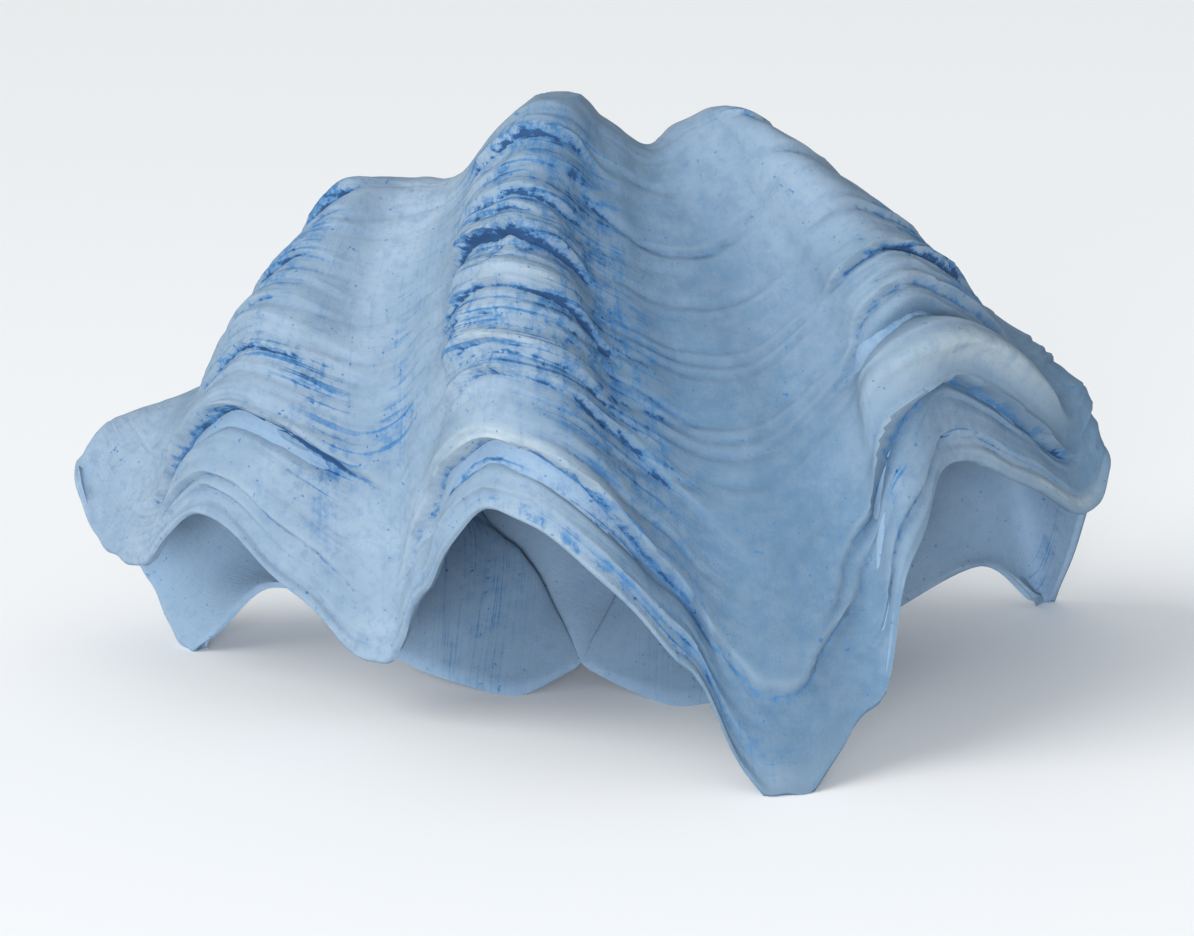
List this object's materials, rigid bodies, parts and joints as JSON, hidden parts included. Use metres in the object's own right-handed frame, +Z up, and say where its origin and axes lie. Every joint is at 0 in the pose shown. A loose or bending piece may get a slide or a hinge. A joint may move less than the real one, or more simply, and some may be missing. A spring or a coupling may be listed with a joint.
{
  "type": "giant clam half shell",
  "caption": "Half shell of a giant clam with deep rounded folds, lying hollow side down, washed chalky blue.",
  "frame": {"origin": "on the floor, under the middle of the shell's bounding box", "axes": "+X along the hinge line, to the right with the wavy margin towards the viewer; +Y from the wavy margin back to the umbo; +Z up, out of the domed outside"},
  "size_m": [0.476, 0.2676, 0.2575],
  "materials": {
    "shell": "matte, chalky pale blue wash with darker blue left in creases, ledges and pits"
  },
  "bodies": {
    "root": {"shell": "shell"}
  },
  "joints": []
}
